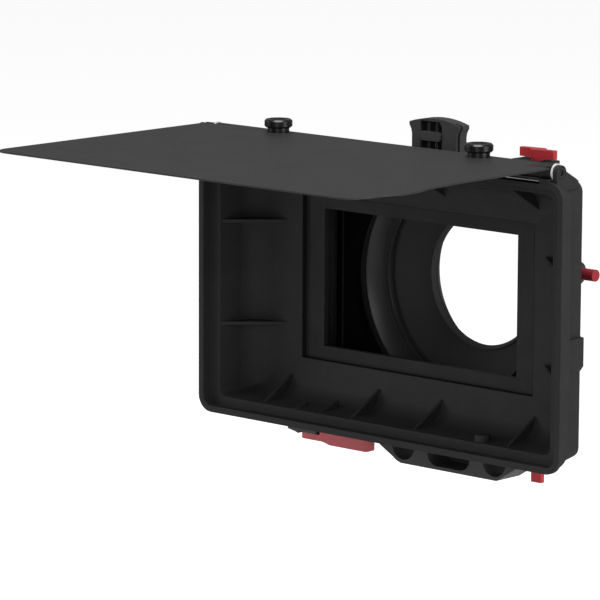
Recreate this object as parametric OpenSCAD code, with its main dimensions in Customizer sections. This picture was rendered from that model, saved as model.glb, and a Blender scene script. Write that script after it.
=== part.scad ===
// Matte box for a film camera lens: hood, mask, one filter tray, top flag and rod bracket.
// X runs to the viewer's right, Y from the hood towards the lens, Z up.
// The origin is on the optical axis, at the mouth of the lens clamp ring.
// Stations along Y inside the modules are counted from the mask, and the lens lies beyond it.

/* [Hood] */
// Width over the rim
hood_w = 236; // [230:1:244]
// Top of the rim above the optical axis
hood_up = 68.6; // [67.5:0.1:72]
// Bottom of the rim below the optical axis
hood_down = 70.7; // [69:0.1:74]
// Distance from the rim's front to the mask
hood_depth = 35.3; // [34:0.1:40]
// Wall of the lip that runs round the rim
lip_wall = 3.2; // [2.6:0.1:3.6]
// Height of the lip in front of the ledge
lip_height = 5.4; // [4.5:0.1:6.5]
// Width of the ledge inside the lip, at the sides
ledge_side = 6.6; // [5.5:0.1:8]
// Width of the ledge inside the lip, at the top
ledge_top = 3.4; // [3:0.1:4.5]
// Width of the ledge inside the lip, at the bottom
ledge_bottom = 4.6; // [3.6:0.1:6]
// Thickness of the web behind the ledge
web_t = 1.4; // [1.2:0.1:2.4]
// How far the rim stands out past the band behind it
rim_overhang = 4.5; // [3:0.1:5]
// Corner radius of the rim
rim_corner = 8.5; // [7:0.5:10]
// Depth of the band behind the rim
band_len = 14; // [11:0.5:15]
// Share of its mouth that the cavity keeps at its back
cavity_taper = 0.96; // [0.94:0.005:0.98]
// Depth of the slanted back wall
funnel_depth = 6; // [4.5:0.1:7]
// Distance from the back wall's inner edge to the mask
pocket_step = 3.8; // [3:0.1:4.5]
// Thickness of the ribs in the cavity
rib_t = 1.6; // [1.2:0.1:2.4]
// Height of the ribs where they meet the back wall
rib_rise = 11.5; // [8:0.5:14]
// Distance of the outer upright ribs from the centre
rib_outer_x = 79.7; // [70:0.1:84]
// Distance of the inner upright ribs from the centre
rib_inner_x = 20.6; // [14:0.1:30]
// Place of the short rib on the floor
rib_short_x = -41; // [-48:1:-30]
// Height of the short rib
rib_short_rise = 2.9; // [2:0.1:4]
// Place of the small rib beside it
rib_small_x = -57; // [-66:1:-50]
// Height of the small rib
rib_small_rise = 1.7; // [1:0.1:2.5]
// Place of the round boss on the floor
boss_x = 62.2; // [50:0.1:72]
// Radius of the round boss
boss_r = 3.8; // [3:0.1:4.5]
// Height of the round boss
boss_rise = 2.9; // [2:0.1:4]
// Height of the upper side rib
side_rib_up = 26.8; // [18:0.1:34]
// Depth of the lower side rib
side_rib_down = 25.6; // [18:0.1:34]

/* [Mask] */
// Width of the mask's picture opening
opening_w = 126; // [118:0.5:130]
// Height of the mask's picture opening
opening_h = 70.2; // [64:0.2:74]
// Width of the mask insert
mask_w = 150.6; // [146:0.2:154]
// Height of the mask insert
mask_h = 84; // [80:0.2:90]
// Thickness of the mask insert
mask_t = 3.1; // [2.4:0.1:3.6]
// Gap round the mask insert
mask_gap = 0.1; // [0.05:0.05:0.3]

/* [Flag] */
// Width of the top flag
flag_w = 230.6; // [222:0.2:234]
// Length of the top flag
flag_len = 151.6; // [130:0.2:170]
// Thickness of the top flag
flag_t = 0.8; // [0.6:0.1:1.2]
// Radius of the flag's left front corner
flag_corner = 9; // [7:1:18]
// How far the finger tab stands out of the right edge
flag_tab = 5.6; // [3:0.2:6]
// Distance of the flag's rear edge behind the hinge axis
flag_tail = 1.2; // [1:0.2:3]
// Distance from the rim's front to the hinge axis
hinge_back = 5.3; // [5:0.1:7]
// Height of the hinge axis above the rim
hinge_rise = 4.5; // [4.5:0.1:6]
// Radius of the hinge knuckles
knuckle_r = 3.75; // [3.6:0.05:4.15]
// Length of a hinge knuckle
knuckle_len = 8; // [6:0.5:10]
// Radius of the round back of the hinge bar
bar_r = 3.7; // [3.3:0.1:3.8]
// Height of the flag's seat above the hinge axis
seat_rise = 2.8; // [2.8:0.1:3.6]
// Radius of the white hinge washers
washer_r = 4.2; // [3.8:0.05:4.4]
// Thickness of the white hinge washers
washer_t = 0.7; // [0.5:0.1:2]
// Thickness of the hinge ears
ear_t = 2.6; // [2:0.1:3.2]
// Radius of the nose of a hinge ear
ear_r = 3.5; // [3.2:0.1:4]
// Radius of the pivot screw's shank
pivot_r = 1.5; // [1.2:0.1:1.8]
// Radius of the pivot screw's head
pivot_head_r = 2.7; // [2.3:0.1:2.9]
// Radius of the steel rod under the hinge
rod_wire_r = 0.6; // [0.5:0.05:0.7]
// Distance of the flag knobs from the centre
knob_x = 64.9; // [50:0.1:75]
// Radius of a flag knob
knob_r = 6.95; // [6:0.05:7.5]
// Radius of a flag knob's collar
knob_collar_r = 5.4; // [4.5:0.1:5.8]
// Height of a flag knob above the flag
knob_h = 6.2; // [4.5:0.1:7]
// Distance of the flag knobs in front of the hinge axis
knob_ahead = 3.5; // [2.5:0.1:3.5]
// Radius of a flag knob's threaded stem
knob_stem_r = 1.3; // [1:0.1:1.4]

/* [Stage] */
// Width of the filter stage
stage_w = 172; // [170:1:180]
// Top of the filter stage above the optical axis
stage_up = 61.5; // [61.5:0.1:63]
// Bottom of the filter stage below the optical axis
stage_down = 62; // [61.5:0.1:64]
// Thickness of the stage's front plate
front_plate_t = 7.4; // [6.5:0.1:9]
// Thickness of the stage's rear plate
rear_plate_t = 5.6; // [4.5:0.1:6.5]
// Gap between the plates, in which the tray slides
channel = 7.8; // [7.4:0.1:8.6]
// Width of the light path through the front plate
light_w = 132; // [131:0.5:136]
// Height of the light path through the front plate
light_h = 80; // [76:0.5:90]
// Radius of the round opening in the rear plate
rear_open_r = 59.5; // [58:0.1:60]
// Radius of the screws that hold the stage together
stage_screw_r = 1.5; // [1.2:0.1:2]

/* [Tray] */
// Width of the filter tray
tray_w = 152; // [150:0.5:154]
// Thickness of the filter tray
tray_t = 7; // [6.4:0.1:7.2]
// Top of the tray's frame above the optical axis
tray_up = 57; // [55:0.1:60]
// Bottom of the tray's frame below the optical axis
tray_down = 55.7; // [54:0.1:56]
// Width of the filter that the tray takes
filter_w = 143.5; // [138:0.1:144]
// Height of the filter that the tray takes
filter_h = 101.6; // [98:0.1:102]
// Thickness of the filter that the tray takes
filter_t = 4; // [2:0.1:4.2]
// Border of the tray that overlaps the filter
tray_border = 4.6; // [3.5:0.1:6]
// Width of the tray's handle
handle_w = 29; // [26:0.1:32]
// How far the handle's top corners flare out
handle_flare = 1.7; // [1:0.1:2.5]
// Crown of the handle above the optical axis
handle_top = 85; // [82:0.5:92]
// Thickness of the handle's front plate
handle_front_t = 0.9; // [0.7:0.1:1.2]
// Gap between the handle's front plate and its back
handle_gap = 1.7; // [1:0.1:2]

/* [Lens side] */
// Distance from the mask to the lens stop
mask_to_stop = 52; // [51.5:0.1:58]
// Radius of the lens that the clamp ring holds
lens_r = 40; // [38:0.5:41]
// Length of the clamp ring along the lens
clamp_len = 7.5; // [6.5:0.1:12]
// Wall of the clamp ring
clamp_wall = 6; // [5:0.1:6.5]
// Width of the slit in the clamp ring
clamp_slit = 1.6; // [1:0.1:2.4]
// Radius of the lens stop's clear opening
stop_r = 33.7; // [32:0.1:36]
// Radius of the adapter ring
adapter_r = 61.2; // [60.8:0.1:61.4]
// Wall of the collar round the adapter ring
collar_wall = 2.6; // [2.2:0.1:2.8]
// Radius of the adapter's rear spigot
spigot_r = 57; // [56:0.1:58]

/* [Rod bracket] */
// Distance between the two support rods
rod_spacing = 60; // [56:0.5:62]
// Drop from the optical axis to the rods
rod_drop = 85; // [84:0.5:87]
// Radius of the support rods
rod_r = 7.5; // [7:0.1:7.7]
// Wall under the rod holes
rod_wall = 2; // [1.6:0.1:3]
// Length of the bracket along the rods
bracket_len = 18; // [15:0.5:24]
// Station of the bracket's front face
bracket_front = 22.3; // [22.3:0.1:26]
// Width of the slot between the rods
slot_w = 27.6; // [22:0.2:29]
// Radius of the slot's corners
slot_corner = 6; // [4:0.5:6.5]

/* [Levers] */
// Length of the red lock wing
wing_len = 22.4; // [18:0.2:24]
// Width of the lock wing at its ends
wing_w = 2.9; // [2.2:0.1:4]
// Thickness of the lock wing
wing_t = 4.3; // [3:0.1:5]
// Distance of the lock wing's axis from the rim's right side
wing_inset = 33.9; // [32:0.1:36]
// Radius of the lock wing's stem
wing_stem_r = 2.6; // [2:0.1:3]
// Radius of the red pull pin
pin_r = 2.9; // [2.4:0.1:3.4]
// Length of the pull pin outside its bush
pin_len = 10.2; // [8:0.1:14]
// Height of the pull pin above the optical axis
pin_up = 17.7; // [10:0.1:30]
// Radius of the pull pin's bush
bush_r = 5.6; // [4.6:0.1:6.4]
// Length of the release lever's paddle
paddle_len = 32.7; // [26:0.1:34]
// Width of the release lever
lever_w = 7; // [6:0.1:7.4]
// Height of the release lever's paddle
paddle_h = 8.7; // [7:0.1:10]
// Span of the rod clamp's wing
clamp_wing_span = 24.6; // [20:0.1:26]
// Length of the rod clamp's wing along its screw
clamp_wing_len = 6.3; // [5:0.1:8]
// Thickness of the rod clamp's wing
clamp_wing_t = 2.6; // [2:0.1:3.6]

/* [Fit] */
// Gap all round between a shaft and its bore
running = 0.05; // [0.02:0.01:0.1]
// Gap between pieces that are fitted together
seat_gap = 0.2; // [0.1:0.05:0.3]
// Gap between pieces that move past each other
clear = 0.4; // [0.3:0.05:0.6]

/* [Hidden] */
$fn = 64;
blend_fn = 32;
eps = 0.01;
over = 1;

mask_y = -(mask_to_stop + clamp_len);

half_w = hood_w / 2;
lip_front = -hood_depth;
ledge_y = lip_front + lip_height;
web_y = ledge_y + web_t;
band_rear = web_y + band_len;
band_half = half_w - rim_overhang;
band_inset = 0.4;
band_corner = 9.5;
step_y = -33;
step_corner = 11.5;
band_back_half = band_half - 0.4;
band_back_up = hood_up - 0.8;
band_back_down = hood_down - 5.2;
mouth_half = half_w - lip_wall - ledge_side;
mouth_up = hood_up - lip_wall - ledge_top;
mouth_down = hood_down - lip_wall - ledge_bottom;
mouth_corner = 4;
back_y = -pocket_step - funnel_depth;
back_half = mouth_half * cavity_taper;
back_up = mouth_up * cavity_taper;
back_down = mouth_down * cavity_taper;
funnel_end = 0.2 - pocket_step;
funnel_more = (funnel_end - back_y) / funnel_depth;
pocket_half = mask_w / 2 + mask_gap;
pocket_h = mask_h / 2 + mask_gap;
rear_half = back_half - 6.4;
rear_up = hood_up - 4.6;
rear_down = hood_down - 6.7;
stage_front = 2;
mask_rear = stage_front - 0.1;
side_wall = 6.1;
rear_corner = 5.5;
short_rib_end = -15.5;
small_rib_end = -21;
boss_y = -25.2;
wing_x = half_w - wing_inset;
wing_socket = back_up + 1.8;
wing_stem_foot = wing_socket + 0.4;

hinge_y = lip_front + hinge_back;
hinge_z = hood_up + hinge_rise;
ear_out = half_w - 5.2;
ear_in = ear_out - ear_t;
knuckle_end = ear_in - washer_t - seat_gap;
knuckle_in = knuckle_end - knuckle_len;
seat_z = hinge_z + seat_rise;
flag_top = seat_z + flag_t;
flag_rear = hinge_y + flag_tail;
flag_front = flag_rear - flag_len;
flag_right_corner = 7;
// Outline of the finger tab: way from the flag's front edge, share of the tab's reach
tab_outline = [
    [6, -0.36], [6, -0.11], [9, 0.14], [13, 0.29], [18, 0.36], [23, 0.61], [28, 0.95], [34, 1],
    [40, 0.93], [50, 0.46], [58, 0.29], [72, 0.07], [78, -0.36]
];
bar_front = 5.1;
bar_toe = 4.4;
bar_toe_drop = 1.4;
corner_left = hinge_y - 3.9;
corner_right = hinge_y - 12;
stem_depth = 3.4;
pivot_len = ear_t + washer_t + 3.4;
wire_x = knuckle_in + 2.3;
wire_groove_end = hinge_y - 0.5;
wire_grip = 2.4;
wire_floor = hood_up - 1.1;
wire_lip = 0.5;
wire_lift = 0.7;
wire_lug_top = hood_up + 1.5;
wire_y = lip_front + wire_lip + rod_wire_r + running;
wire_z = wire_floor + wire_lift + rod_wire_r + running;
wire_lug_rear = wire_y + 1;

plate_rear = stage_front + front_plate_t;
channel_rear = plate_rear + channel;
stage_rear = channel_rear + rear_plate_t;
tray_front = plate_rear + (channel - tray_t) / 2;
tray_rear = tray_front + tray_t;
tray_mid = (tray_front + tray_rear) / 2;
guide_in = tray_w / 2 + clear;
stage_half = stage_w / 2;
floor_top = tray_down + clear - 0.1;
screw_x = guide_in + 3.3;
screw_z = 50;
screw_head_r = 2.3;
screw_head_h = 3;
screw_sink = screw_head_h + 0.2;

collar_in = adapter_r + seat_gap;
collar_out = collar_in + collar_wall;
collar_end = stage_rear + 11.4;
adapter_front = stage_rear + 5.2;
adapter_waist = adapter_front + 7.2;
adapter_rear = adapter_front + 12;
adapter_in = 52.6;
adapter_step = 54.4;
adapter_lip = 0.9;
adapter_bowl = -0.5;
cone_mouth = 51.6;
groove_in = 53.3;
clamp_out = lens_r + clamp_wall;
stop_t = 2;
lug_z = clamp_out + 4.5;
lug_half = 6.5;
clamp_screw_r = 2;
adapter_screw_r = 1.5;
cone_screw_r = 0.8;
cone_flange = 2;
cone_screw_ring = (groove_in + spigot_r) / 2;
ring_screw_r = 1;
ring_screw_head = 1.9;

rod_z = -rod_drop;
bracket_bottom = rod_z - rod_r - rod_wall;
bracket_rear = bracket_front + bracket_len;
shoulder_z = rod_z + 0.6;
shoulder_x = rod_spacing / 2 + 17.5;
foot_half = rod_spacing / 2 + 1.5;
arm_bottom = rod_z + 1.5;
arm_top = arm_bottom + 8;
arm_left = -109.5;
arm_depth = 9;
flange_top = -stage_down - eps;
flange_t = 4;
flange_half = 48;
flange_front = 4;
slot_floor = 3;
bracket_screw_x = 40;
lever_x = -98.4;
lever_y = bracket_front + 0.5 + lever_w / 2;
lever_foot_right = lever_x + 8.6;
lever_foot_end = arm_bottom - 4.6;
lever_stop_x = lever_x - lever_w / 2 - clear;
lever_stop_end = arm_bottom - 5.6;
paddle_top = arm_bottom - clear;
paddle_bottom = paddle_top - paddle_h;
hub_bottom = paddle_bottom + 1.2;
lever_sink = 1;
lever_head_r = 2.4;
lever_head_h = 0.8;
clamp_axis_z = rod_z + 5;
clamp_axis_y = bracket_front + 4.7;
clamp_shaft_r = 2.5;
lever_screw_r = 1.5;
bracket_screw_r = 1.2;
bracket_screw_grip = 7;

lock_x0 = wing_x - 12.2;
lock_x1 = wing_x + 8.9;
lock_y = -12.4;
lock_front = lock_y - 5.2;
lock_rear = lock_y + 5.2;
lock_top = hood_up + 6.2;
pin_y = tray_mid;
sleeve_r = 3;
chamber_r = 2.4;
pin_collar_r = 2.3;
pin_shaft_r = 1.45;

handle_front_y = tray_front - 0.6;
handle_back_y = handle_front_y + handle_front_t + handle_gap;
neck_half = handle_w / 2 - 3.5;
neck_top = handle_top - 2;
neck_front = handle_front_y + handle_front_t + eps;
neck_rear = tray_rear - 2.4;
handle_root = tray_up + 5;
handle_cap = handle_top - 1.6;
window_x0 = -9.1;
window_x1 = 5;
window_z0 = handle_top - 16;
window_cells = [[-9, -4.8], [-3.4, 0.2], [1.7, 4.8]];
latch_x = (window_cells[1][0] + window_cells[1][1]) / 2;
latch_half = (window_cells[1][1] - window_cells[1][0]) / 2 - clear;
latch_z = handle_top - 6.6;
latch_h = 4.6;
latch_foot = latch_z - latch_h + 0.6;
handle_screw_r = 1;
handle_screw_head = 1.9;

// Places a shape whose stations are counted from the mask
module at_mask() translate([0, mask_y, 0]) children();

// Extrudes an outline drawn in X and Z from station y0 to y1
module along_y(y0, y1) translate([0, y1, 0]) rotate([90, 0, 0]) linear_extrude(y1 - y0) children();

// The same, with the outline shrinking to the shares s at y1
module taper_y(y0, y1, s)
    translate([0, y0, 0]) rotate([-90, 0, 0]) linear_extrude(y1 - y0, scale = s, slices = 1)
        mirror([0, 1]) children();

// Turns a profile of radius and station about the optical axis
module turn_y() rotate([90, 0, 0]) mirror([0, 0, 1]) rotate_extrude($fn = 128) children();

module rod_x(r, x0, x1) translate([x0, 0, 0]) rotate([0, 90, 0]) cylinder(r = r, h = x1 - x0);
module rod_y(r, y0, y1) translate([0, y1, 0]) rotate([90, 0, 0]) cylinder(r = r, h = y1 - y0);

// Box from one corner to the opposite one
module block(a, b) translate(a) cube(b - a);

// Rectangle between two corners, with round corners
module round_rect(a, b, r) {
    translate([a[0] + r, a[1]]) square([b[0] - a[0] - 2 * r, b[1] - a[1]]);
    translate([a[0], a[1] + r]) square([b[0] - a[0], b[1] - a[1] - 2 * r]);
    for (x = [a[0] + r, b[0] - r], y = [a[1] + r, b[1] - r]) translate([x, y]) circle(r);
}

// Station of the slanted back wall at a share of the way to the pocket
function funnel_y(z, far, near) = back_y + funnel_depth * (far - z) / (far - near);

module mirrored() {
    children();
    mirror([1, 0, 0]) children();
}

// Socket head screw along Z, head up, with its seat at the origin
module socket_screw(r, length, head_r, head_h) {
    translate([0, 0, -length]) cylinder(r = r, h = length + eps);
    difference() {
        cylinder(r = head_r, h = head_h);
        translate([0, 0, head_h * 0.45]) cylinder(r = head_r * 0.5, h = head_h, $fn = 6);
    }
}

module hood_ear() {
    translate([ear_in, 0, 0]) rotate([90, 0, 90]) linear_extrude(ear_t) {
        translate([hinge_y, hinge_z]) circle(ear_r);
        polygon([
            [hinge_y - ear_r, hinge_z], [hinge_y - ear_r + 0.4, hood_up - 4],
            [hinge_y + 12.6, hood_up - 4], [hinge_y + 12.6, hood_up - 0.4],
            [hinge_y + 11, hood_up + 0.7], [hinge_y + ear_r * 0.98, hinge_z + ear_r * 0.1]
        ]);
    }
}

// Raised pad for a side flag, with its lower end cut off at a slant
module side_pad() {
    along_y(band_rear - 11, band_rear) polygon([
        [band_half - 1, -6.5], [band_half + 1.7, -6.8], [band_half + 1.7, -20.6],
        [band_half - 0.2, -23.2], [band_half - 1, -23.2]
    ]);
}

module hood_body() {
    along_y(lip_front, step_y) round_rect([-half_w, -hood_down], [half_w, hood_up], rim_corner);
    along_y(step_y - eps, web_y) round_rect([-half_w, -hood_down + 0.8], [half_w, hood_up], step_corner);
    hull() {
        along_y(web_y - over, web_y - over / 2)
            round_rect([-band_half, -hood_down + over], [band_half, hood_up - band_inset], band_corner, $fn = blend_fn);
        along_y(band_rear - eps, band_rear)
            round_rect([-band_back_half, -band_back_down], [band_back_half, band_back_up], rear_corner, $fn = blend_fn);
    }
    taper_y(band_rear - eps, stage_front, [rear_half / (back_half + side_wall), 0.97])
        round_rect([-back_half - side_wall, -rear_down], [back_half + side_wall, rear_up], rear_corner, $fn = 48);
    mirrored() hood_ear();
    mirrored() side_pad();
    mirrored() block([wire_x, lip_front, hood_up - over], [ear_in - over, wire_lug_rear, wire_lug_top]);
}

module hood_cuts() {
    along_y(lip_front - over, ledge_y)
        round_rect([-half_w + lip_wall, -hood_down + lip_wall], [half_w - lip_wall, hood_up - lip_wall],
            rim_corner - lip_wall);
    taper_y(ledge_y - eps, back_y + eps, cavity_taper)
        round_rect([-mouth_half, -mouth_down], [mouth_half, mouth_up], mouth_corner, $fn = 48);
    taper_y(back_y, funnel_end, [1 - (1 - pocket_half / back_half) * funnel_more, 1 - (1 - pocket_h / back_up) * funnel_more])
        translate([-back_half, -back_up]) square([2 * back_half, 2 * back_up]);
    along_y(back_y + over, stage_front + over)
        translate([-pocket_half, -pocket_h]) square([2 * pocket_half, 2 * pocket_h]);
    block([-wire_x, lip_front - over, wire_floor], [wire_x, wire_groove_end, hood_up + over]);
    translate([0, wire_y, wire_z]) rod_x(rod_wire_r + running, -wire_x - wire_grip, wire_x + wire_grip);
    mirrored() translate([0, hinge_y, hinge_z]) rod_x(pivot_r + running, ear_in - over, ear_out + over);
    translate([0, hinge_y, hinge_z]) rod_x(pivot_head_r + seat_gap, ear_out - 1.2, ear_out + over);
    for (x = [-screw_x, screw_x], z = [-screw_z, screw_z])
        translate([x, 0, z]) rod_y(stage_screw_r + running, -1.5, stage_front + over);
    translate([wing_x, lock_y, wing_socket]) cylinder(r = wing_stem_r + running, h = hood_up - wing_socket);
}

// Upright rib on the floor of the cavity, or on its roof when up is -1
module upright_rib(x, rise, up) {
    far = up > 0 ? back_down : back_up;
    near = pocket_h;
    mouth = up > 0 ? mouth_down : mouth_up;
    top = far - rise + 1.2;
    translate([x - rib_t / 2, 0, 0]) rotate([90, 0, 90]) linear_extrude(rib_t) scale([1, up]) polygon([
        [ledge_y + 2.4, -mouth + 0.4], [funnel_y(top, far, near) + 0.8, -top],
        [funnel_y(far, far, near) + 0.8, -far], [back_y, -far - 1.6], [ledge_y + 2.4, -mouth - over]
    ]);
}

// Low rib on the floor that ends upright at station end_y
module low_rib(x, end_y, rise) {
    floor_z = -mouth_down + (mouth_down - back_down) * (end_y - ledge_y) / (back_y - ledge_y);
    translate([x - rib_t / 2, 0, 0]) rotate([90, 0, 90]) linear_extrude(rib_t) polygon([
        [ledge_y + over, -mouth_down - over], [ledge_y + over, -mouth_down + 0.3],
        [end_y, floor_z + rise], [end_y, floor_z - over]
    ]);
}

module side_rib(z) {
    inner = back_half - 20;
    mirrored() translate([0, 0, z - rib_t / 2]) linear_extrude(rib_t) polygon([
        [mouth_half - 0.2, ledge_y + over], [inner, funnel_y(inner, back_half, pocket_half)],
        [inner, funnel_y(inner, back_half, pocket_half) + 0.8], [back_half, back_y + 0.8],
        [mouth_half + over, ledge_y + over]
    ]);
}

module hood() {
    color("#26272a") at_mask() {
        difference() {
            hood_body();
            hood_cuts();
        }
        for (x = [-rib_outer_x, -rib_inner_x, rib_inner_x, rib_outer_x], up = [1, -1])
            upright_rib(x, rib_rise, up);
        low_rib(rib_short_x, short_rib_end, rib_short_rise);
        low_rib(rib_small_x, small_rib_end, rib_small_rise);
        translate([boss_x, boss_y, -mouth_down - over]) cylinder(r = boss_r, h = over + boss_rise + 0.6);
        side_rib(side_rib_up);
        side_rib(-side_rib_down);
    }
}

module mask_insert() {
    color("#202124") at_mask() difference() {
        along_y(mask_rear - mask_t, mask_rear)
            round_rect([-mask_w / 2, -mask_h / 2], [mask_w / 2, mask_h / 2], 1);
        along_y(mask_rear - mask_t - over, mask_rear + over)
            translate([-opening_w / 2, -opening_h / 2]) square([opening_w, opening_h]);
    }
}

// The four places of the screws that hold the stage together
module at_stage_screws() for (x = [-screw_x, screw_x], z = [-screw_z, screw_z]) translate([x, 0, z]) children();

module stage_outline(half) round_rect([-half, -stage_down], [half, stage_up], 6);

// Where the bracket's screws enter the stage from below
module at_bracket_screws()
    for (x = [-bracket_screw_x, bracket_screw_x], y = [stage_front + front_plate_t / 2, stage_rear - rear_plate_t / 2 - 0.2])
        translate([x, y, -stage_down - flange_t]) children();

module stage_front_plate() {
    color("#2a2b2e") at_mask() difference() {
        along_y(stage_front, plate_rear) stage_outline(stage_half);
        along_y(stage_front - over, plate_rear + over)
            round_rect([-light_w / 2, -light_h / 2], [light_w / 2, light_h / 2], 2);
        at_stage_screws() rod_y(stage_screw_r + running, stage_front - over, plate_rear + over);
        at_bracket_screws() cylinder(r = bracket_screw_r + running, h = bracket_screw_grip + flange_t);
    }
}

module tray_guide(side) {
    color("#303134") at_mask() difference() {
        block([min(side * guide_in, side * stage_half), plate_rear + eps, -stage_down],
            [max(side * guide_in, side * stage_half), channel_rear - eps, stage_up - 3]);
        at_stage_screws() rod_y(stage_screw_r + running, plate_rear - over, channel_rear + over);
        if (side > 0) translate([0, pin_y, pin_up]) rod_x(sleeve_r + running, guide_in - over, stage_half + over);
    }
}

module stage_floor() {
    color("#303134") at_mask()
        block([-guide_in + seat_gap, plate_rear + eps, -stage_down], [guide_in - seat_gap, channel_rear - eps, -floor_top]);
}

module stage_rear_plate() {
    color("#2a2b2e") at_mask() difference() {
        union() {
            along_y(channel_rear, stage_rear) stage_outline(stage_half - 3.2);
            rod_y(collar_out, stage_rear - eps, collar_end);
        }
        rod_y(rear_open_r, channel_rear - over, stage_rear + over);
        rod_y(collar_in, stage_rear, collar_end + over);
        at_stage_screws() {
            rod_y(stage_screw_r + running, channel_rear - over, stage_rear + over);
            rod_y(screw_head_r + seat_gap, stage_rear - screw_sink, stage_rear + over);
        }
        at_bracket_screws() cylinder(r = bracket_screw_r + running, h = bracket_screw_grip + flange_t);
        at_adapter_screws() cylinder(r = adapter_screw_r + running, h = collar_wall + 2 * over);
    }
}

// Round the collar, with Z pointing outwards from its inner face
module at_adapter_screws() for (a = [90, 210, 330])
    rotate([0, -a, 0]) translate([collar_in - over, collar_end - 3, 0]) rotate([0, 90, 0]) children();

module adapter_ring() {
    color("#3a3b3f") at_mask() difference() {
        turn_y() polygon([
            [adapter_r - 0.4, adapter_front], [adapter_r, adapter_front], [adapter_r, adapter_rear - 4],
            [spigot_r, adapter_rear - 4], [spigot_r, adapter_rear], [groove_in, adapter_rear],
            [groove_in, adapter_waist + adapter_lip], [adapter_in - adapter_lip + 0.3, adapter_waist + adapter_lip],
            [adapter_in - adapter_lip, adapter_waist + 0.5], [adapter_in - adapter_lip + 0.2, adapter_waist],
            [adapter_step, adapter_waist],
            for (t = [0.1:0.1:0.9]) [
                adapter_step + t * (adapter_r - 0.4 - adapter_step) + adapter_bowl * 2.6 * t * (1 - t),
                adapter_waist + t * (adapter_front - adapter_waist) + adapter_bowl * 3 * t * (1 - t)
            ]
        ]);
        at_cone_screws() rod_y(cone_screw_r + running, adapter_rear - 3.5, adapter_rear + over);
        at_adapter_screws() translate([0, 0, over - seat_gap - 0.5]) cylinder(r = adapter_screw_r + running, h = 2);
    }
}

module at_cone_screws() for (a = [45:90:315]) rotate([0, a, 0]) translate([cone_screw_ring, 0, 0]) children();

module lens_cone() {
    color("#2c2d30") at_mask() difference() {
        turn_y() polygon([
            [cone_mouth, adapter_rear + eps], [spigot_r, adapter_rear + eps],
            [spigot_r, adapter_rear + cone_flange], [spigot_r - 4, adapter_rear + cone_flange],
            [clamp_out, mask_to_stop - 3.5], [clamp_out, mask_to_stop], [stop_r, mask_to_stop],
            [stop_r, mask_to_stop - stop_t], [stop_r + 1.8, mask_to_stop - stop_t - 0.5]
        ]);
        at_cone_screws() rod_y(cone_screw_r + running, adapter_rear - over, adapter_rear + cone_flange + over);
        at_clamp_ring_screws() rod_y(ring_screw_r + running, mask_to_stop - 3, mask_to_stop + over);
    }
}

module at_clamp_ring_screws() for (a = [45:90:315])
    rotate([0, a, 0]) translate([lens_r + clamp_wall / 2, 0, 0]) children();

module lens_clamp_ring() {
    stop = mask_to_stop + eps;
    mouth = mask_to_stop + clamp_len;
    lug_y = mask_to_stop + clamp_len / 2;
    color("#2a2b2e") at_mask() difference() {
        union() {
            rod_y(clamp_out, stop, mouth);
            block([-lug_half, stop + eps, lens_r + 2], [lug_half, mouth - eps, lug_z + 4.5]);
        }
        rod_y(lens_r, stop - over, mouth + over);
        block([-clamp_slit / 2, stop - over, lens_r - 2], [clamp_slit / 2, mouth + over, lug_z + 10]);
        translate([0, lug_y, lug_z]) rod_x(clamp_screw_r + running, -lug_half - over, lug_half + over);
        at_clamp_ring_screws() {
            rod_y(ring_screw_r + running, stop - over, mouth + over);
            rod_y(ring_screw_head + seat_gap, mouth - 2.4, mouth + over);
        }
    }
}

module bracket_outline() {
    half = shoulder_x + 1;
    polygon([
        [-foot_half, bracket_bottom], [foot_half, bracket_bottom], [shoulder_x, shoulder_z],
        [half, arm_bottom], [half, flange_top - flange_t + eps], [-half, flange_top - flange_t + eps],
        [-half, arm_top], [arm_left, arm_top], [arm_left, arm_bottom],
        [-half, arm_bottom], [-shoulder_x, shoulder_z], [-shoulder_x + 1.9, shoulder_z - 2.6],
        [-foot_half - 5.7, bracket_bottom + 2.8], [-foot_half - 2.9, bracket_bottom + 1]
    ]);
}

module rod_bracket() {
    slot_top = arm_top + 1;
    color("#2b2c2f") at_mask() difference() {
        union() {
            along_y(bracket_front, bracket_rear) bracket_outline();
            block([-flange_half, flange_front, flange_top - flange_t], [flange_half, bracket_rear, flange_top]);
            along_y(bracket_front, bracket_front + arm_depth) polygon([
                [arm_left, arm_bottom + over], [arm_left, arm_bottom - 4], [lever_stop_x - 1.8, lever_stop_end + 0.6],
                [lever_stop_x, lever_stop_end], [lever_stop_x, lever_foot_end],
                [lever_foot_right, lever_foot_end], [lever_foot_right, arm_bottom + over]
            ]);
        }
        rod_y(collar_out + seat_gap, stage_rear - 2 * eps, collar_end + over);
        for (x = [-rod_spacing / 2, rod_spacing / 2])
            translate([x, 0, rod_z]) rod_y(rod_r + running, bracket_front - over, bracket_rear + over);
        along_y(bracket_front - over, bracket_rear - slot_floor)
            round_rect([-slot_w / 2, bracket_bottom + rod_wall - 0.2], [slot_w / 2, slot_top], slot_corner);
        block([arm_left - over, bracket_front + arm_depth, arm_bottom - over],
            [-shoulder_x - 2.5, bracket_rear + over, arm_top + over]);
        translate([0, clamp_axis_y, clamp_axis_z]) {
            rod_x(clamp_shaft_r + running, rod_spacing / 2, shoulder_x + 3);
        }
        translate([lever_x, lever_y, lever_foot_end - over]) cylinder(r = lever_screw_r + running, h = 12);
        at_bracket_screws() translate([0, 0, -over]) cylinder(r = bracket_screw_r + running, h = flange_t + 2 * over);
    }
}

module hinge_wire() {
    color("#b9bcc0") at_mask() translate([0, wire_y, wire_z])
        rod_x(rod_wire_r, -wire_x - wire_grip + seat_gap, wire_x + wire_grip - seat_gap);
}

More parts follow.
